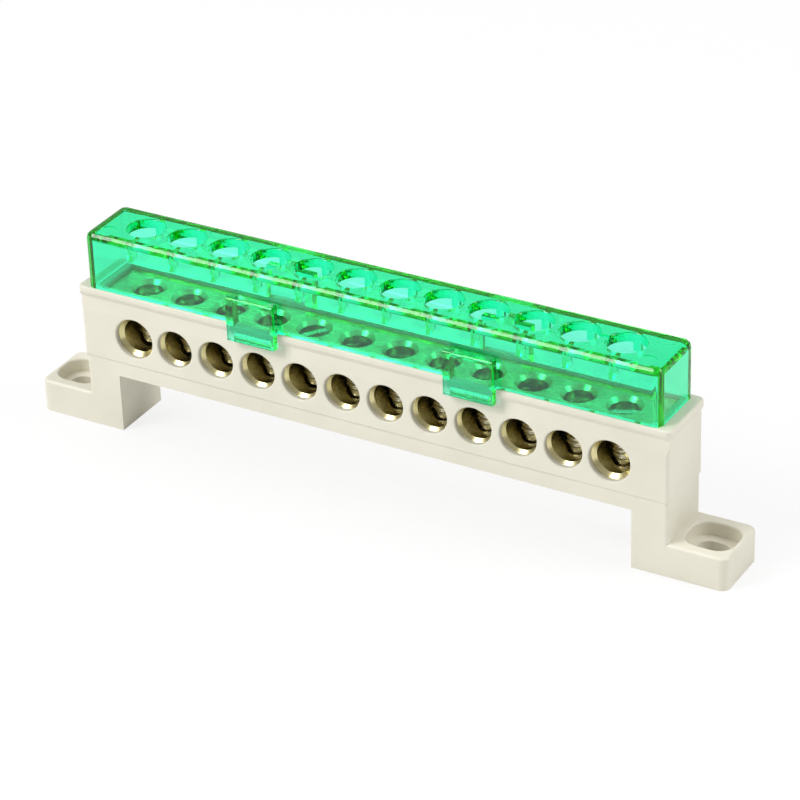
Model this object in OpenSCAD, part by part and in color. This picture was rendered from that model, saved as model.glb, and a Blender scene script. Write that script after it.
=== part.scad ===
// Earth terminal bar: a drilled brass bar with clamp screws in a bridge-shaped moulded base, under a clip-on
// cover. X runs along the bar, Y from front to back and Z up. The origin is midway between the two feet, on
// the surface that they stand on.

/* [Terminals] */
// Number of wire terminals
ways = 12; // [6:1:14]
// Distance from one terminal to the next
pitch = 8.5; // [8.2:0.1:10]
// Height of the wire bores above the mounting surface
wire_z = 19.6; // [18.8:0.1:20.4]

/* [Brass bar] */
// Thickness of the bar from front to back
bar_w = 10.8; // [9:0.1:11]
// Height of the bar
bar_h = 12; // [11.4:0.1:12.6]
// Metal beyond the last terminal's centre at each end of the bar
bar_end = 6.7; // [5:0.1:6.8]
// Diameter of the wire bores
bore_d = 6.2; // [5.6:0.1:6.4]
// Width of the countersink round each wire bore
bore_chamfer = 0.7; // [0.3:0.1:0.9]
// Width of the countersink round each tapped hole
tap_chamfer = 0.7; // [0.3:0.1:0.9]
// Depth to which each tapped hole is drilled below its wire bore's centre
tap_below = 3.4; // [3.2:0.1:3.6]

/* [Screws] */
// Outside diameter of the screw thread
screw_d = 5; // [4:0.1:5.4]
// Length of each screw
screw_l = 8; // [7:0.1:9]
// Width of the driver slot
slot_w = 1.2; // [0.8:0.1:1.6]
// Depth of the driver slot
slot_depth = 1.8; // [1:0.1:2.4]
// Length of the plain tip that presses on the wire
tip_l = 1.3; // [0.8:0.1:2]
// Diameter of the plain tip
tip_d = 4; // [3.2:0.1:4.2]
// Height by which the least tightened screw stands above the tightest
screw_spread = 1.1; // [0:0.1:1.4]

/* [Base body] */
// Thickness of the front and back walls of the channel
wall_t = 0.95; // [0.8:0.05:1.6]
// Thickness of the end walls of the channel
end_t = 4; // [3:0.1:4.4]
// Clear space between the bar and the channel, on each side
bar_gap = 0.1; // [0.05:0.05:0.3]
// Diameter of the wire windows in the front wall
window_d = 7; // [6.5:0.1:7.4]
// Diameter of the two windows at the ends of the row
end_window_d = 7.6; // [6.5:0.1:7.8]
// Height of the open space under the body
bridge_h = 11.2; // [9:0.1:11.8]
// Depth of the bar's top below the rim of the base
bar_sunk = 0.7; // [0.3:0.1:1.5]
// Radius of the upright corners of the body
body_r = 0.6; // [0.4:0.1:1.6]
// Height of the band that joins the legs under the walls
band_h = 2.7; // [2:0.1:3.2]
// Distance by which the walls stand out from the band and the legs, front and back
wall_out = 0.3; // [0.1:0.05:0.6]
// Distance by which the walls stand out from the legs at each end
wall_end_out = 0.15; // [0.05:0.05:0.4]
// Height of the chamfer under the walls
wall_chamfer = 0.5; // [0.2:0.1:0.8]
// Distance by which the walls lean in under the rim
neck_in = 0.5; // [0.2:0.1:0.8]
// Height of the part of the walls that leans in
neck_h = 2.5; // [1:0.1:3]
// Depth of the hollows moulded under the body
core_depth = 2; // [1:0.1:2.4]
// Thickness left in front of and behind those hollows
core_wall = 1.4; // [1:0.1:2]
// Thickness of the ribs between those hollows
rib_t = 1.5; // [1:0.1:2]

/* [Rim] */
// Height of the upright edge of the rim round the top of the base
rim_h = 1; // [0.8:0.1:1.6]
// Height of the chamfer under that edge
rim_chamfer = 1.1; // [0.8:0.1:1.6]
// Distance by which the rim stands out from the front and back walls
rim_out = 0.2; // [0.1:0.1:0.6]
// Distance by which the rim stands out from the end walls
rim_end_out = 0.4; // [0.1:0.1:0.8]
// Radius of the top edge of the rim
rim_r = 0.4; // [0.2:0.1:0.6]

/* [Legs and feet] */
// Thickness of each leg along the bar
leg_t = 6.7; // [6:0.1:8]
// Length of each foot beyond the body
foot_l = 10.6; // [10:0.1:13]
// Height of each foot
foot_h = 6.2; // [5:0.1:8]
// Radius of the outer upright corners of the feet
foot_r = 1.6; // [0.8:0.1:3]
// Radius of the top edges of the feet
foot_edge_r = 0.6; // [0.3:0.1:0.7]
// Distance from the end of the body to the centre of the fixing slot
slot_from_body = 5.3; // [5.1:0.1:5.5]
// Width of the slot that the fixing screw passes through
fix_w = 4.3; // [3.6:0.1:4.8]
// Length of the slot that the fixing screw passes through
fix_l = 5.8; // [5.4:0.1:6.4]
// Width of the recess for the fixing screw's head
recess_w = 8; // [7:0.1:8.6]
// Length of the recess for the fixing screw's head
recess_l = 8.8; // [8:0.1:9]
// Depth of the recess for the fixing screw's head
recess_depth = 2.6; // [1.5:0.1:3.5]
// Radius of the recess's corners
recess_r = 3; // [1.5:0.1:3.4]
// Radius of the rounded edge at the top of the recess
recess_edge_r = 0.4; // [0.2:0.1:0.6]
// Width of the hollow moulded up into each leg
leg_core_w = 3.6; // [2.5:0.1:3.9]

/* [Cover] */
// Height of the cover above the base
cover_h = 10.7; // [9:0.1:14]
// Thickness of the cover's walls
cover_t = 1.3; // [1:0.1:1.5]
// Thickness of the cover's top
top_t = 1.7; // [1.2:0.1:2]
// Clear space under the cover's walls
cover_gap = 0.05; // [0.05:0.05:0.2]
// Width of the step left bare on the rim in front of and behind the cover
ledge_w = 0.35; // [0.2:0.05:0.9]
// Width of the step left bare on the rim at each end of the cover
ledge_end = 2; // [1.5:0.1:3]
// Radius of the cover's upright corners
cover_r = 1.5; // [1.4:0.1:2.6]
// Radius of the cover's top edges
cover_edge_r = 1.2; // [0.4:0.1:1.4]
// Diameter of the screwdriver holes
driver_d = 7; // [6:0.1:7.4]
// Radius of the rounded rim of each screwdriver hole
driver_lip_r = 0.2; // [0.1:0.1:0.4]
// Thickness of the gussets under the cover's top
gusset_t = 1; // [0.6:0.1:1.4]
// Height of the gussets where they meet the wall
gusset_h = 2.4; // [1.5:0.1:4]
// Height by which the gussets grow shallower towards the screwdriver hole
gusset_rise = 0.7; // [0.2:0.1:1]
// Diameter of the shallow round marks on the cover's top
mark_d = 3.6; // [2:0.1:3.8]
// Depth of those marks
mark_depth = 0.1; // [0.05:0.05:0.2]
// Diameter of the dimple where the cover was moulded
gate_d = 2; // [1:0.1:2.4]
// Depth of that dimple
gate_depth = 0.3; // [0.1:0.1:0.5]

/* [Clips] */
// Width of each clip
clip_w = 9.4; // [8:0.1:11]
// Number of pitches from the middle of the base to each clip
clip_at = 2.5; // [1.5:1:4.5]
// Thickness of the clip where it hangs over the rim
clip_t = 1.2; // [1:0.1:1.6]
// Height of the clip above the base
clip_up = 5.7; // [4:0.1:7]
// Distance by which the clip reaches below the rim
clip_down = 0.5; // [0.4:0.1:1]
// Distance by which the hook reaches in under the rim
hook_in = 0.5; // [0.3:0.1:0.7]
// Clear space between the clip and the base
clip_gap = 0.1; // [0.05:0.05:0.2]

/* [Hidden] */
// Flats on a full circle
round_fn = 48;
// Steps up the curve of a rounded edge
edge_steps = 3;
// Extra length that makes a cut pass clear of a face
over = 1;
// Small overlap that joins one piece of a moulding to the next
slice = 0.02;
// Clear space round a screw in its tapped hole
thread_gap = 0.05;
// Metal left under each wire bore
bore_floor = 1.2;
// Radius of the rounded lip of each wire window
lip_r = 0.3;
// Thickness left above the hollow in each leg
leg_wall = 1.5;
// Width of the broken edges of the bar
bar_break = 0.3;
// Width of the broken edges of the screws
tip_break = 0.3;
// Distance from the end of the cover to the marks nearest it
mark_from_end = 3.6;
// Pitches from the middle of the cover to the other marks
mark_pitches = [1, 4];
// Turn of the driver slot from one screw to the next, in degrees
slot_turn = 47;
// Radius of the top edge of the clips
clip_edge_r = 0.35;
// Thickness of the sides of the clips
clip_cheek = 1;
// How far each screw is from its tightest, as shares of screw_spread
screw_shares = [0.5, 0.5, 0.4, 0.3, 0.4, 0.2, 0, 0.1, 0, 0.2, 0, 0];

row_l = (ways - 1) * pitch;
bar_l = row_l + 2 * bar_end;
bar_z = wire_z - bore_d / 2 - bore_floor;
bar_top = bar_z + bar_h;
base_h = bar_top + bar_sunk;
channel_w = bar_w + 2 * bar_gap;
channel_l = bar_l + 2 * bar_gap;
body_w = channel_w + 2 * wall_t;
body_l = channel_l + 2 * end_t;
leg_w = body_w - 2 * wall_out;
leg_l = body_l - 2 * wall_end_out;
core_w = leg_w - 2 * core_wall;
band_z = bridge_h + band_h;
rim_z = base_h - rim_h;
neck_z = rim_z - rim_chamfer;
neck_y = body_w / 2 - neck_in;
rim_w = body_w + 2 * rim_out;
rim_l = body_l + 2 * rim_end_out;
foot_x = body_l / 2 + foot_l;
slot_x = body_l / 2 + slot_from_body;
cover_w = rim_w - 2 * ledge_w;
cover_l = rim_l - 2 * ledge_end;
cover_top = base_h + cover_h;
roof_z = cover_top - top_t;
mark_y = cover_w / 2 - cover_edge_r / 2 - mark_d / 2;
clip_y = rim_w / 2 + clip_gap + clip_t;
clip_z = neck_z - clip_down;
screw_seat = wire_z - tap_below + thread_gap;

function terminal_x(i) = (i - (ways + 1) / 2) * pitch;

// A flat-ended block with rounded upright corners
module rounded_block(l, w, r, z0, z1) {
    translate([0, 0, z0]) linear_extrude(z1 - z0) rounded_outline(l, w, r);
}

module rounded_outline(l, w, r) {
    union() {
        square([l - 2 * r, w], center = true);
        square([l, w - 2 * r], center = true);
        for (x = [-1, 1], y = [-1, 1])
            translate([x * (l / 2 - r), y * (w / 2 - r)]) circle(r, $fn = round_fn);
    }
}

// The same block with its top edge rounded over: a profile run along each side and turned at each corner.
// With spread set to -1 the block widens to its top instead, to cut a recess with a rounded edge.
module crowned_block(l, w, r, z0, z1, edge, spread = 1) {
    union() {
        rotate([90, 0, 90]) linear_extrude(l - 2 * r, center = true)
            mirrored(crowned_side(w / 2, z0, z1, edge, spread));
        rotate([90, 0, 0]) linear_extrude(w - 2 * r, center = true)
            mirrored(crowned_side(l / 2, z0, z1, edge, spread));
        for (x = [-1, 1], y = [-1, 1]) translate([x * (l / 2 - r), y * (w / 2 - r), 0])
            rotate_extrude($fn = round_fn)
                polygon(concat([[0, z0]], crowned_side(r, z0, z1, edge, spread), [[0, z1]]));
    }
}

// A profile given by its right-hand side, from the bottom up
module mirrored(side) {
    polygon(concat(side, [for (k = [len(side) - 1:-1:0]) [-side[k][0], side[k][1]]]));
}

function crowned_side(half, z0, z1, edge, spread) = concat([[half, z0]],
    [for (k = [0:edge_steps]) let (turn = 90 * k / edge_steps)
        [half - spread * edge * (1 - cos(turn)), z1 - edge * (1 - sin(turn))]]);

// An obround along X
module obround(l, w, z0, z1) {
    translate([0, 0, z0]) linear_extrude(z1 - z0) union() {
        square([l - w, w], center = true);
        for (x = [-1, 1]) translate([x * (l - w) / 2, 0]) circle(d = w, $fn = round_fn);
    }
}

// A block between two corners, given as lowest and highest values
module span_block(x0, x1, y0, y1, z0, z1) {
    translate([x0, y0, z0]) cube([x1 - x0, y1 - y0, z1 - z0]);
}

// The ivory moulding that carries the bar: walls, rim, legs and feet
module base() {
    color("ivory") difference() {
        union() {
            legs();
            walls();
            rim();
            for (side = [-1, 1]) foot(side);
        }
        bar_channel();
        for (i = [1:ways]) {
            wire_window(i);
            floor_core(i);
        }
        for (side = [-1, 1]) {
            fixing_slot(side);
            leg_core(side);
        }
    }
}

// The two legs and the band that joins them
module legs() {
    inner = leg_l / 2 - leg_t;
    difference() {
        rounded_block(leg_l, leg_w, body_r, 0, band_z + slice);
        span_block(-inner, inner, -leg_w, leg_w, -over, bridge_h);
    }
}

// The walls round the bar, chamfered below and leaning in under the rim
module walls() {
    intersection() {
        rounded_block(body_l, body_w, body_r, band_z, rim_z + slice);
        rotate([90, 0, 90]) linear_extrude(body_l + over, center = true) mirrored([
            [leg_w / 2, band_z - over], [leg_w / 2, band_z], [body_w / 2, band_z + wall_chamfer],
            [body_w / 2, neck_z - neck_h], [neck_y, neck_z], [neck_y, rim_z + over]
        ]);
    }
}

// The rim, with a chamfer underneath all round
module rim() {
    r = body_r + rim_end_out;
    crowned_block(rim_l, rim_w, r, rim_z, base_h, rim_r);
    intersection() {
        rounded_block(rim_l, rim_w, r, neck_z, rim_z + slice);
        rotate([90, 0, 90]) linear_extrude(rim_l + over, center = true)
            mirrored([[neck_y, neck_z], [rim_w / 2, rim_z], [rim_w / 2, rim_z + over]]);
        rotate([90, 0, 0]) linear_extrude(rim_w + over, center = true)
            mirrored([[body_l / 2, neck_z], [rim_l / 2, rim_z], [rim_l / 2, rim_z + over]]);
    }
}

// One foot, with its inner end inside the leg
module foot(side) {
    inner = (leg_l - leg_t) / 2;
    translate([side * (inner + foot_x) / 2, 0, 0])
        crowned_block(foot_x - inner, leg_w, foot_r, 0, foot_h, foot_edge_r);
}

module bar_channel() {
    span_block(-channel_l / 2, channel_l / 2, -channel_w / 2, channel_w / 2, bar_z, base_h + over);
}

// A wire window with a rounded lip, through the front wall only
module wire_window(i) {
    r = (i == 1 || i == ways ? end_window_d : window_d) / 2;
    lip = [for (turn = [0:30:90]) [r + lip_r * (1 - cos(turn)), lip_r * (sin(turn) - 1)]];
    translate([terminal_x(i), -body_w / 2, wire_z]) rotate([90, 0, 0]) rotate_extrude($fn = round_fn)
        polygon(concat([[0, -wall_t - bar_gap], [r, -wall_t - bar_gap]], lip, [[r + lip_r, over], [0, over]]));
}

// A hollow under the channel's floor, one for each terminal
module floor_core(i) {
    x = terminal_x(i);
    half = (pitch - rib_t) / 2;
    span_block(x - half, x + half, -core_w / 2, core_w / 2, bridge_h - over, bridge_h + core_depth);
}

// The slot for a fixing screw, with a recess for its head
module fixing_slot(side) {
    translate([side * slot_x, 0, 0]) {
        obround(fix_l, fix_w, -over, foot_h + over);
        crowned_block(recess_l, recess_w, recess_r, foot_h - recess_depth, foot_h + slice,
            recess_edge_r, spread = -1);
    }
}

module leg_core(side) {
    x = side * (leg_l - leg_t) / 2;
    half = leg_core_w / 2;
    span_block(x - half, x + half, -core_w / 2, core_w / 2, -over, bridge_h - leg_wall);
}

// The brass bar, with a cross bore and a tapped hole for each terminal
module bar() {
    color("goldenrod") difference() {
        translate([-bar_l / 2, 0, 0]) rotate([90, 0, 90]) linear_extrude(bar_l) bar_section();
        for (i = [1:ways]) translate([terminal_x(i), 0, 0]) {
            wire_bore();
            tapped_hole();
        }
    }
}

// The bar's section, with its long edges broken
module bar_section() {
    y = bar_w / 2;
    b = bar_break;
    polygon([
        [-y + b, bar_z], [y - b, bar_z], [y, bar_z + b], [y, bar_top - b],
        [y - b, bar_top], [-y + b, bar_top], [-y, bar_top - b], [-y, bar_z + b]
    ]);
}

module wire_bore() {
    r = bore_d / 2;
    flare = r + bore_chamfer;
    y = bar_w / 2;
    translate([0, 0, wire_z]) rotate([90, 0, 0]) rotate_extrude($fn = round_fn) polygon([
        [0, -y - over], [flare, -y - over], [flare, -y], [r, bore_chamfer - y],
        [r, y - bore_chamfer], [flare, y], [flare, y + over], [0, y + over]
    ]);
}

module tapped_hole() {
    r = screw_d / 2;
    flare = r + tap_chamfer;
    rotate_extrude($fn = round_fn) polygon([
        [0, wire_z - tap_below], [r, wire_z - tap_below], [r, bar_top - tap_chamfer],
        [flare, bar_top], [flare, bar_top + over], [0, bar_top + over]
    ]);
}

// A headless clamp screw. Its fine thread is a plain stem here.
module screw(i) {
    r = screw_d / 2 - thread_gap;
    tip_r = tip_d / 2;
    z = screw_seat + screw_spread * screw_shares[(i - 1) % len(screw_shares)];
    color("silver") translate([terminal_x(i), 0, z]) difference() {
        rotate_extrude($fn = round_fn) polygon([
            [0, 0], [tip_r - tip_break, 0], [tip_r, tip_break], [tip_r, tip_l], [r, tip_l + r - tip_r],
            [r, screw_l - tip_break], [r - tip_break, screw_l], [0, screw_l]
        ]);
        rotate(slot_turn * i)
            span_block(-screw_d, screw_d, -slot_w / 2, slot_w / 2, screw_l - slot_depth, screw_l + over);
    }
}

// The clear cover: a shell with screwdriver holes, stiffened by gussets, with clips that hold it down
module cover() {
    color("mediumspringgreen", 0.6) difference() {
        union() {
            difference() {
                union() {
                    crowned_block(cover_l, cover_w, cover_r, base_h + cover_gap, cover_top, cover_edge_r);
                    each_clip() clip_outside();
                }
                rounded_block(cover_l - 2 * cover_t, cover_w - 2 * cover_t, max(cover_r - cover_t, slice),
                    base_h - over, roof_z);
                each_clip() clip_inside();
            }
            each_clip() hook();
            for (i = [1:ways]) gussets(i);
        }
        for (i = [1:ways]) driver_hole(i);
        marks();
    }
}

// A screwdriver hole with a rounded rim, cut down through the gussets' inner ends
module driver_hole(i) {
    r = driver_d / 2;
    rim = [for (turn = [0:30:90])
        [r + driver_lip_r * (1 - cos(turn)), cover_top - driver_lip_r * (1 - sin(turn))]];
    translate([terminal_x(i), 0, 0]) rotate_extrude($fn = round_fn) polygon(concat(
        [[0, roof_z - gusset_h - over], [r, roof_z - gusset_h - over]], rim,
        [[r + driver_lip_r, cover_top + over], [0, cover_top + over]]));
}

// The shallow round marks in pairs along the top, and the dimple between the last two holes
module marks() {
    half = [for (n = mark_pitches) n * pitch];
    for (x = concat(half, [cover_l / 2 - mark_from_end]), side = [-1, 1], y = [-mark_y, mark_y])
        translate([side * x, y, cover_top - mark_depth])
            cylinder(mark_depth + over, d = mark_d, $fn = round_fn);
    translate([row_l / 2 - pitch / 2, 0, cover_top - gate_depth])
        cylinder(gate_depth + over, d = gate_d, $fn = round_fn);
}

// Places a clip's front half shape at every clip, front and back
module each_clip() {
    for (x = [-1, 1], turn = [0, 180]) rotate(turn) translate([x * clip_at * pitch, 0, 0]) children();
}

// The outside of one front clip, with its top edge rounded
module clip_outside() {
    top = base_h + clip_up;
    y = -cover_w / 2 + cover_t / 2;
    edge = [for (turn = [0:30:90])
        [-clip_y + clip_edge_r * (1 - cos(turn)), top - clip_edge_r * (1 - sin(turn))]];
    rotate([90, 0, 90]) linear_extrude(clip_w, center = true)
        polygon(concat([[y, clip_z], [-clip_y, clip_z]], edge, [[y, top]]));
}

// The space inside one front clip: a pocket above the rim, and the room that the rim itself takes
module clip_inside() {
    x = clip_w / 2 - clip_cheek;
    pocket_y = rim_w / 2 + clip_gap;
    span_block(-x, x, -pocket_y, -cover_w / 2 + cover_t + slice, base_h - over, base_h + clip_up - clip_t);
    span_block(-clip_w, clip_w, -pocket_y, 0, clip_z - over, base_h + cover_gap);
}

// The tooth inside a front clip that catches under the rim's chamfer
module hook() {
    y = rim_w / 2 + clip_gap + slice;
    tip = rim_w / 2 - hook_in;
    x = clip_w / 2 - clip_cheek;
    translate([-x, 0, 0]) rotate([90, 0, 90]) linear_extrude(2 * x)
        polygon([[-y, clip_z], [-tip, (clip_z + neck_z) / 2], [-tip, neck_z], [-y, rim_z - clip_gap]]);
}

// The pair of gussets beside one screwdriver hole, between the walls and the top
module gussets(i) {
    wall_y = cover_w / 2 - cover_t + slice;
    for (turn = [0, 180]) rotate(turn) translate([terminal_x(i), 0, 0]) rotate([90, 0, 90])
        linear_extrude(gusset_t, center = true) polygon([
            [-wall_y, roof_z - gusset_h], [-wall_y, roof_z + slice],
            [0, roof_z + slice], [-driver_d / 2, roof_z - gusset_h + gusset_rise]
        ]);
}

base();
bar();
cover();
for (i = [1:ways]) screw(i);
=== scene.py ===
import math

import bmesh
import bpy
from mathutils import Matrix, Vector


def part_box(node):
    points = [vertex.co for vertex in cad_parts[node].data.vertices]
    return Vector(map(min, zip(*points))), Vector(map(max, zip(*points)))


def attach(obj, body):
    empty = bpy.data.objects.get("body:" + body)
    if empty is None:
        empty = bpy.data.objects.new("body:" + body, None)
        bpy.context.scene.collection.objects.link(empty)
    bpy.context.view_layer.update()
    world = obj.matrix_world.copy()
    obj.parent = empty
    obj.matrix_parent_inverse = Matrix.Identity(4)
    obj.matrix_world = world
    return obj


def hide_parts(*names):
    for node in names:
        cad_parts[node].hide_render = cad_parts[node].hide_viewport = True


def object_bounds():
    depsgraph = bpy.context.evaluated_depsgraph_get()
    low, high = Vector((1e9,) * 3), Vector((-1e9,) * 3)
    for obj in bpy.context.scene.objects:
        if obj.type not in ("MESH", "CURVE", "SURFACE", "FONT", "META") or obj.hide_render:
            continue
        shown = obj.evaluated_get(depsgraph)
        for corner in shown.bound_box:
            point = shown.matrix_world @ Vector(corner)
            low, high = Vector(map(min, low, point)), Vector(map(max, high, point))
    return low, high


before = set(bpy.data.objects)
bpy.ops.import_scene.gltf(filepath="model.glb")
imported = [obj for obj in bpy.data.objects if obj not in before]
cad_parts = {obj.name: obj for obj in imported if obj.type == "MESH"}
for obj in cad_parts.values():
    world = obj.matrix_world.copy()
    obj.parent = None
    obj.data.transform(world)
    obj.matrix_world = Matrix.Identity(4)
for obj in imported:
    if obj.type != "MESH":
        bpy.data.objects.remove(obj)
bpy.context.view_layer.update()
ways = sum(name.startswith("screw_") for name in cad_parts)


# Ivory base: one injection moulding in nylon that carries the bar on a bridge between two slotted feet.
# It is satin all over, with a fine spark-eroded grain, and slightly lighter where the edges catch the light.
def new_material(name):
    material = bpy.data.materials.new(name)
    material.use_nodes = True
    material.node_tree.nodes.clear()
    return material


def add(tree, kind, place=(0, 0), **inputs):
    node = tree.nodes.new(kind)
    node.location = place
    for name, value in inputs.items():
        node.inputs[name.replace("_", " ")].default_value = value
    return node


def dress(node_name, material):
    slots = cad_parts[node_name].data.materials
    slots.clear()
    slots.append(material)


def make_grain_group():
    """Fine moulded grain: a slow change of tone and a shallow relief, both in metres."""
    group = bpy.data.node_groups.new("Moulded grain", "ShaderNodeTree")
    group.interface.new_socket("Tone", in_out="INPUT", socket_type="NodeSocketColor")
    group.interface.new_socket("Shade", in_out="INPUT", socket_type="NodeSocketColor")
    group.interface.new_socket("Grain size", in_out="INPUT", socket_type="NodeSocketFloat")
    group.interface.new_socket("Relief", in_out="INPUT", socket_type="NodeSocketFloat")
    group.interface.new_socket("Colour", in_out="OUTPUT", socket_type="NodeSocketColor")
    group.interface.new_socket("Gloss change", in_out="OUTPUT", socket_type="NodeSocketFloat")
    group.interface.new_socket("Normal", in_out="OUTPUT", socket_type="NodeSocketVector")
    entry = group.nodes.new("NodeGroupInput")
    leave = group.nodes.new("NodeGroupOutput")
    place = group.nodes.new("ShaderNodeTexCoord")
    slow = add(group, "ShaderNodeTexNoise", Scale=90.0, Detail=2.0, Roughness=0.5)
    fine = add(group, "ShaderNodeTexNoise", Detail=3.0, Roughness=0.6)
    blend = group.nodes.new("ShaderNodeMix")
    blend.data_type = "RGBA"
    spread = add(group, "ShaderNodeMapRange")
    spread.inputs["From Min"].default_value = 0.35
    spread.inputs["From Max"].default_value = 0.65
    gloss = add(group, "ShaderNodeMapRange")
    gloss.inputs["To Min"].default_value = -0.04
    gloss.inputs["To Max"].default_value = 0.05
    bump = add(group, "ShaderNodeBump", Strength=0.35)
    link = group.links.new
    link(place.outputs["Object"], slow.inputs["Vector"])
    link(place.outputs["Object"], fine.inputs["Vector"])
    link(entry.outputs["Grain size"], fine.inputs["Scale"])
    link(slow.outputs["Fac"], spread.inputs["Value"])
    link(spread.outputs["Result"], blend.inputs["Factor"])
    link(entry.outputs["Tone"], blend.inputs["A"])
    link(entry.outputs["Shade"], blend.inputs["B"])
    link(blend.outputs["Result"], leave.inputs["Colour"])
    link(fine.outputs["Fac"], gloss.inputs["Value"])
    link(gloss.outputs["Result"], leave.inputs["Gloss change"])
    link(fine.outputs["Fac"], bump.inputs["Height"])
    link(entry.outputs["Relief"], bump.inputs["Distance"])
    link(bump.outputs["Normal"], leave.inputs["Normal"])
    return group


grain_group = make_grain_group()


def make_ivory():
    material = new_material("Ivory nylon")
    tree = material.node_tree
    skin = tree.nodes.new("ShaderNodeBsdfPrincipled")
    out = tree.nodes.new("ShaderNodeOutputMaterial")
    grain = tree.nodes.new("ShaderNodeGroup")
    grain.node_tree = grain_group
    grain.inputs["Tone"].default_value = (0.74, 0.71, 0.60, 1)
    grain.inputs["Shade"].default_value = (0.70, 0.67, 0.56, 1)
    grain.inputs["Grain size"].default_value = 5200.0
    grain.inputs["Relief"].default_value = 0.00004
    gloss = add(tree, "ShaderNodeMath")
    gloss.inputs[1].default_value = 0.42
    skin.inputs["IOR"].default_value = 1.53
    link = tree.links.new
    link(grain.outputs["Colour"], skin.inputs["Base Color"])
    link(grain.outputs["Gloss change"], gloss.inputs[0])
    link(gloss.outputs[0], skin.inputs["Roughness"])
    link(grain.outputs["Normal"], skin.inputs["Normal"])
    link(skin.outputs["BSDF"], out.inputs["Surface"])
    return material


dress("base", make_ivory())


# Brass bar: cut from drawn bar, then cross-drilled and tapped for each terminal.
# Drawing leaves fine lines along it, and the drill leaves fine rings round each bore.
def make_brass():
    material = new_material("Drawn brass")
    tree = material.node_tree
    skin = tree.nodes.new("ShaderNodeBsdfPrincipled")
    out = tree.nodes.new("ShaderNodeOutputMaterial")
    place = tree.nodes.new("ShaderNodeTexCoord")
    stretch = add(tree, "ShaderNodeMapping")
    stretch.inputs["Scale"].default_value = (300.0, 9000.0, 9000.0)
    lines = add(tree, "ShaderNodeTexNoise", Scale=1.0, Detail=3.0)
    rings = add(tree, "ShaderNodeMapping")
    rings.inputs["Scale"].default_value = (400.0, 12000.0, 400.0)
    ring_noise = add(tree, "ShaderNodeTexNoise", Scale=1.0, Detail=2.0)
    total = add(tree, "ShaderNodeMath")
    stain = add(tree, "ShaderNodeTexNoise", Scale=260.0, Detail=3.0)
    tone = tree.nodes.new("ShaderNodeValToRGB")
    tone.color_ramp.elements[0].position = 0.35
    tone.color_ramp.elements[0].color = (0.52, 0.46, 0.22, 1)
    tone.color_ramp.elements[1].position = 0.65
    tone.color_ramp.elements[1].color = (0.72, 0.65, 0.36, 1)
    polish = add(tree, "ShaderNodeMapRange")
    polish.inputs["To Min"].default_value = 0.16
    polish.inputs["To Max"].default_value = 0.34
    bump = add(tree, "ShaderNodeBump", Strength=0.3, Distance=0.00003)
    skin.inputs["Metallic"].default_value = 1.0
    link = tree.links.new
    link(place.outputs["Object"], stretch.inputs["Vector"])
    link(place.outputs["Object"], rings.inputs["Vector"])
    link(place.outputs["Object"], stain.inputs["Vector"])
    link(stretch.outputs["Vector"], lines.inputs["Vector"])
    link(rings.outputs["Vector"], ring_noise.inputs["Vector"])
    link(lines.outputs["Fac"], total.inputs[0])
    link(ring_noise.outputs["Fac"], total.inputs[1])
    link(total.outputs[0], bump.inputs["Height"])
    link(stain.outputs["Fac"], tone.inputs["Fac"])
    link(tone.outputs["Color"], skin.inputs["Base Color"])
    link(lines.outputs["Fac"], polish.inputs["Value"])
    link(polish.outputs["Result"], skin.inputs["Roughness"])
    link(bump.outputs["Normal"], skin.inputs["Normal"])
    link(skin.outputs["BSDF"], out.inputs["Surface"])
    return material


dress("bar", make_brass())


# Clamp screws: headless, slotted, zinc-plated steel with a plain tip that presses on the wire.
# The thread is rolled at 0.8 mm pitch, and each one stands where its solid is and takes its place.
screw_radius = 0.00245
root_radius = 0.00197
tip_radius = 0.0020
screw_length = 0.008
thread_start = 0.0013
thread_pitch = 0.0008
slot_width = 0.0012
slot_depth = 0.0018
blade_length = 0.012
end_chamfer = 0.0003


def screw_mesh():
    around = 40
    fine = bmesh.new()
    profile = [(0.0, root_radius), (0.3, root_radius + 0.0001), (0.5, screw_radius), (0.7, screw_radius)]
    top = screw_length - end_chamfer
    columns = []
    for j in range(around):
        turn = 2 * math.pi * j / around
        direction = Vector((math.cos(turn), math.sin(turn), 0))
        heights = [(0.0, tip_radius - end_chamfer), (end_chamfer, tip_radius), (thread_start, tip_radius)]
        shift = thread_pitch * j / around
        turns = int((top - thread_start) / thread_pitch) + 2
        for k in range(-1, turns):
            for part, radius in profile:
                z = thread_start + (k + part) * thread_pitch + shift
                run_in = min(1.0, max(0.0, (z - thread_start) / thread_pitch))
                run_out = min(1.0, max(0.0, (top - z) / 0.0002))
                radius = tip_radius + (radius - tip_radius) * run_in
                radius = min(radius, screw_radius - 0.0003 * (1 - run_out))
                heights.append((min(max(z, thread_start), top), radius))
        heights += [(top, screw_radius - 0.0002), (screw_length, screw_radius - 0.0004)]
        columns.append([fine.verts.new(direction * radius + Vector((0, 0, z))) for z, radius in heights])
    rows = len(columns[0])
    for j in range(around):
        here, there = columns[j], columns[(j + 1) % around]
        for k in range(rows - 1):
            if j + 1 < around:
                fine.faces.new((here[k], there[k], there[k + 1], here[k + 1]))
            else:
                wrapped = [there[min(max(k + extra, 0), rows - 1)] for extra in (len(profile), len(profile) + 1)]
                if 3 <= k < rows - 7:
                    fine.faces.new((here[k], wrapped[0], wrapped[1], here[k + 1]))
    fine.faces.new([column[0] for column in reversed(columns)])
    fine.faces.new([column[-1] for column in columns])
    bmesh.ops.remove_doubles(fine, verts=fine.verts, dist=1e-7)
    bmesh.ops.holes_fill(fine, edges=fine.edges)
    bmesh.ops.recalc_face_normals(fine, faces=fine.faces)
    mesh = bpy.data.meshes.new("clamp_screw")
    fine.to_mesh(mesh)
    fine.free()
    return mesh


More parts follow.
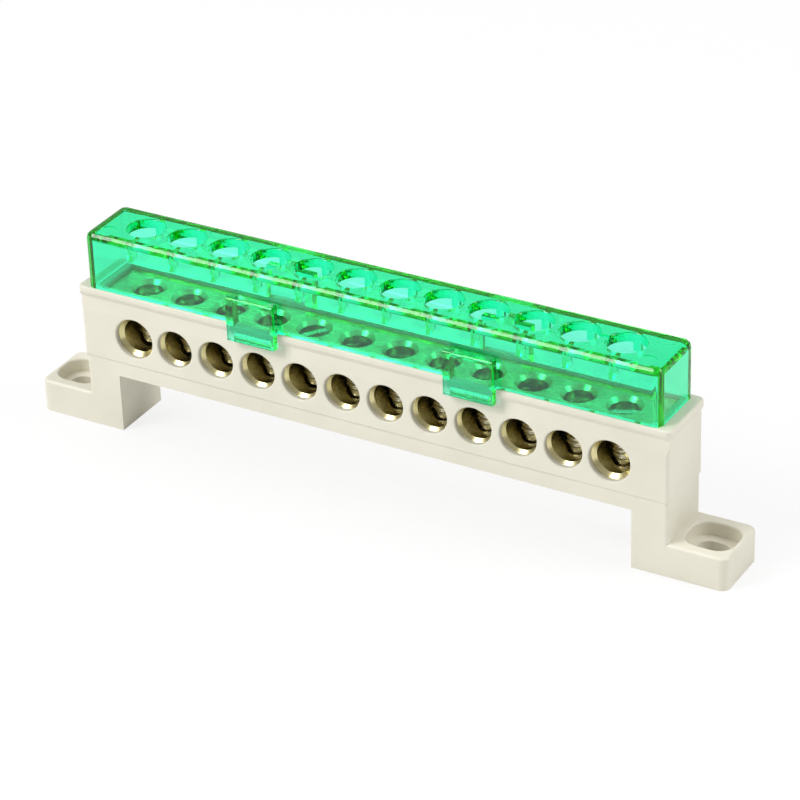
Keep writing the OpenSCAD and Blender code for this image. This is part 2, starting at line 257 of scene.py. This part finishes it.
def make_plated_steel():
    material = new_material("Zinc-plated steel")
    tree = material.node_tree
    skin = tree.nodes.new("ShaderNodeBsdfPrincipled")
    out = tree.nodes.new("ShaderNodeOutputMaterial")
    place = tree.nodes.new("ShaderNodeTexCoord")
    spangle = add(tree, "ShaderNodeTexNoise", Scale=1500.0, Detail=4.0)
    tone = tree.nodes.new("ShaderNodeValToRGB")
    tone.color_ramp.elements[0].color = (0.50, 0.47, 0.36, 1)
    tone.color_ramp.elements[1].color = (0.78, 0.75, 0.62, 1)
    polish = add(tree, "ShaderNodeMapRange")
    polish.inputs["To Min"].default_value = 0.18
    polish.inputs["To Max"].default_value = 0.36
    skin.inputs["Metallic"].default_value = 1.0
    link = tree.links.new
    link(place.outputs["Object"], spangle.inputs["Vector"])
    link(spangle.outputs["Fac"], tone.inputs["Fac"])
    link(tone.outputs["Color"], skin.inputs["Base Color"])
    link(spangle.outputs["Fac"], polish.inputs["Value"])
    link(polish.outputs["Result"], skin.inputs["Roughness"])
    link(skin.outputs["BSDF"], out.inputs["Surface"])
    return material


plated_steel = make_plated_steel()
slot_turn = math.radians(47)
screw_shape = screw_mesh()
for i in range(1, ways + 1):
    low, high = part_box(f"screw_{i}")
    screw = bpy.data.objects.new(f"clamp_screw_{i}", screw_shape.copy())
    bpy.context.scene.collection.objects.link(screw)
    cutter = bpy.data.meshes.new("slot")
    box = bmesh.new()
    bmesh.ops.create_cube(box, size=1.0)
    bmesh.ops.scale(box, vec=(blade_length, slot_width, 2 * slot_depth), verts=box.verts)
    bmesh.ops.rotate(box, cent=(0, 0, 0), matrix=Matrix.Rotation(slot_turn * i, 3, "Z"), verts=box.verts)
    bmesh.ops.translate(box, vec=(0, 0, screw_length), verts=box.verts)
    box.to_mesh(cutter)
    box.free()
    blade = bpy.data.objects.new("slot_cutter", cutter)
    bpy.context.scene.collection.objects.link(blade)
    cut = screw.modifiers.new("Driver slot", "BOOLEAN")
    cut.operation = "DIFFERENCE"
    cut.solver = "EXACT"
    cut.object = blade
    bpy.context.view_layer.update()
    baked = bpy.data.meshes.new_from_object(screw.evaluated_get(bpy.context.evaluated_depsgraph_get()))
    screw.modifiers.clear()
    screw.data = baked
    bpy.data.objects.remove(blade)
    baked.transform(Matrix.Translation(((low[0] + high[0]) / 2, (low[1] + high[1]) / 2, low[2])))
    baked.materials.clear()
    baked.materials.append(plated_steel)
    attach(screw, "root")
    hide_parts(f"screw_{i}")


# Clear green cover: one polished moulding, clipped over the rim, with a hole above each screw.
# Light is coloured on its way through, so edge-on walls look deep green and single walls pale.
def make_clear_green():
    material = new_material("Clear green plastic")
    tree = material.node_tree
    skin = tree.nodes.new("ShaderNodeBsdfPrincipled")
    out = tree.nodes.new("ShaderNodeOutputMaterial")
    inside = add(tree, "ShaderNodeVolumeAbsorption", Density=1200.0)
    inside.inputs["Color"].default_value = (0.0, 0.975, 0.78, 1)
    place = tree.nodes.new("ShaderNodeTexCoord")
    ripple = add(tree, "ShaderNodeTexNoise", Scale=160.0, Detail=2.0)
    haze = add(tree, "ShaderNodeMapRange")
    haze.inputs["To Min"].default_value = 0.0
    haze.inputs["To Max"].default_value = 0.06
    bump = add(tree, "ShaderNodeBump", Strength=0.2, Distance=0.00008)
    skin.inputs["Base Color"].default_value = (1, 1, 1, 1)
    skin.inputs["Transmission Weight"].default_value = 1.0
    skin.inputs["IOR"].default_value = 1.52
    link = tree.links.new
    link(place.outputs["Object"], ripple.inputs["Vector"])
    link(ripple.outputs["Fac"], haze.inputs["Value"])
    link(haze.outputs["Result"], skin.inputs["Roughness"])
    link(ripple.outputs["Fac"], bump.inputs["Height"])
    link(bump.outputs["Normal"], skin.inputs["Normal"])
    link(skin.outputs["BSDF"], out.inputs["Surface"])
    link(inside.outputs["Volume"], out.inputs["Volume"])
    return material


dress("cover", make_clear_green())


# Floor and surroundings: a plain pale surface under soft studio lamps.
# Seen directly or through the cover it is white, and it keeps the shadow of the feet.
def make_floor():
    half_width = 3.0
    below_feet = 0.00002
    glow_share = 0.8
    mesh = bpy.data.meshes.new("floor")
    plane = bmesh.new()
    bmesh.ops.create_grid(plane, x_segments=1, y_segments=1, size=half_width)
    plane.to_mesh(mesh)
    plane.free()
    floor = bpy.data.objects.new("floor", mesh)
    bpy.context.scene.collection.objects.link(floor)
    floor.location = (0, 0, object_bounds()[0][2] - below_feet)
    material = new_material("Pale floor")
    tree = material.node_tree
    matt = add(tree, "ShaderNodeBsdfDiffuse")
    matt.inputs["Color"].default_value = (0.86, 0.86, 0.86, 1)
    glow = add(tree, "ShaderNodeEmission", Strength=1.0)
    view = tree.nodes.new("ShaderNodeLightPath")
    share = add(tree, "ShaderNodeMath")
    share.operation = "MULTIPLY"
    share.inputs[1].default_value = glow_share
    blend = tree.nodes.new("ShaderNodeMixShader")
    out = tree.nodes.new("ShaderNodeOutputMaterial")
    tree.links.new(view.outputs["Is Camera Ray"], share.inputs[0])
    tree.links.new(share.outputs[0], blend.inputs["Fac"])
    tree.links.new(matt.outputs["BSDF"], blend.inputs[1])
    tree.links.new(glow.outputs["Emission"], blend.inputs[2])
    tree.links.new(blend.outputs["Shader"], out.inputs["Surface"])
    mesh.materials.append(material)


make_floor()
world = bpy.data.worlds.new("Studio")
bpy.context.scene.world = world
world.use_nodes = True
sky = world.node_tree
sky.nodes.clear()
dim = add(sky, "ShaderNodeBackground", Strength=0.45)
dim.inputs["Color"].default_value = (1, 1, 1, 1)
white = add(sky, "ShaderNodeBackground", Strength=1.0)
white.inputs["Color"].default_value = (1, 1, 1, 1)
path = sky.nodes.new("ShaderNodeLightPath")
seen = add(sky, "ShaderNodeMath")
seen.operation = "MAXIMUM"
choice = sky.nodes.new("ShaderNodeMixShader")
sky_out = sky.nodes.new("ShaderNodeOutputWorld")
sky.links.new(path.outputs["Is Camera Ray"], seen.inputs[0])
sky.links.new(path.outputs["Is Transmission Ray"], seen.inputs[1])
sky.links.new(seen.outputs[0], choice.inputs["Fac"])
sky.links.new(dim.outputs["Background"], choice.inputs[1])
sky.links.new(white.outputs["Background"], choice.inputs[2])
sky.links.new(choice.outputs["Shader"], sky_out.inputs["Surface"])


# Lamps: a large soft box overhead, one to the front left for the highlights on the edges,
# and a weaker one to the right that opens the end of the base.
def soft_box(name, place, aim, size, watts):
    lamp = bpy.data.lights.new(name, "AREA")
    lamp.shape = "RECTANGLE"
    lamp.size, lamp.size_y = size
    lamp.energy = watts
    holder = bpy.data.objects.new(name, lamp)
    bpy.context.scene.collection.objects.link(holder)
    holder.location = place
    holder.rotation_mode = "QUATERNION"
    holder.rotation_quaternion = (Vector(aim) - Vector(place)).to_track_quat("-Z", "Y")


soft_box("front_left", (-0.52, -0.56, 0.66), (0, 0, 0.02), (0.45, 0.60), 7.0)
soft_box("right_side", (0.77, 0.20, 0.60), (0, 0, 0.02), (0.40, 0.40), 3.5)
soft_box("overhead", (0.0, 0.15, 1.0), (0, 0, 0), (0.80, 0.60), 2.0)


# Camera: a long lens, a little above the bar and to the right of its middle, turned slightly on its axis.
# The long focal length keeps the row of terminals nearly parallel.
camera_place = (0.26364, -0.44008, 0.30753)
lens_length = 154.2
azimuth, elevation, roll = math.radians(30.588), math.radians(29.617), math.radians(-1.994)
forward = Vector((
    -math.sin(azimuth) * math.cos(elevation),
    math.cos(azimuth) * math.cos(elevation),
    -math.sin(elevation),
))
level = Vector((math.cos(azimuth), math.sin(azimuth), 0))
upright = level.cross(forward)
across = math.cos(roll) * level + math.sin(roll) * upright
up = -math.sin(roll) * level + math.cos(roll) * upright
camera = bpy.data.objects.new("camera", bpy.data.cameras.new("camera"))
bpy.context.scene.collection.objects.link(camera)
camera.data.sensor_width = 36
camera.data.lens = lens_length
camera.data.clip_start = 0.01
camera.matrix_world = Matrix((
    (across[0], up[0], -forward[0], camera_place[0]),
    (across[1], up[1], -forward[1], camera_place[1]),
    (across[2], up[2], -forward[2], camera_place[2]),
    (0, 0, 0, 1),
))
bpy.context.scene.camera = camera
bpy.context.scene.view_settings.view_transform = "Standard"

# Light is followed through many turns inside the clear cover before it is given up as black.
bpy.context.scene.cycles.max_bounces = 32
bpy.context.scene.cycles.glossy_bounces = 24
bpy.context.scene.cycles.transmission_bounces = 24
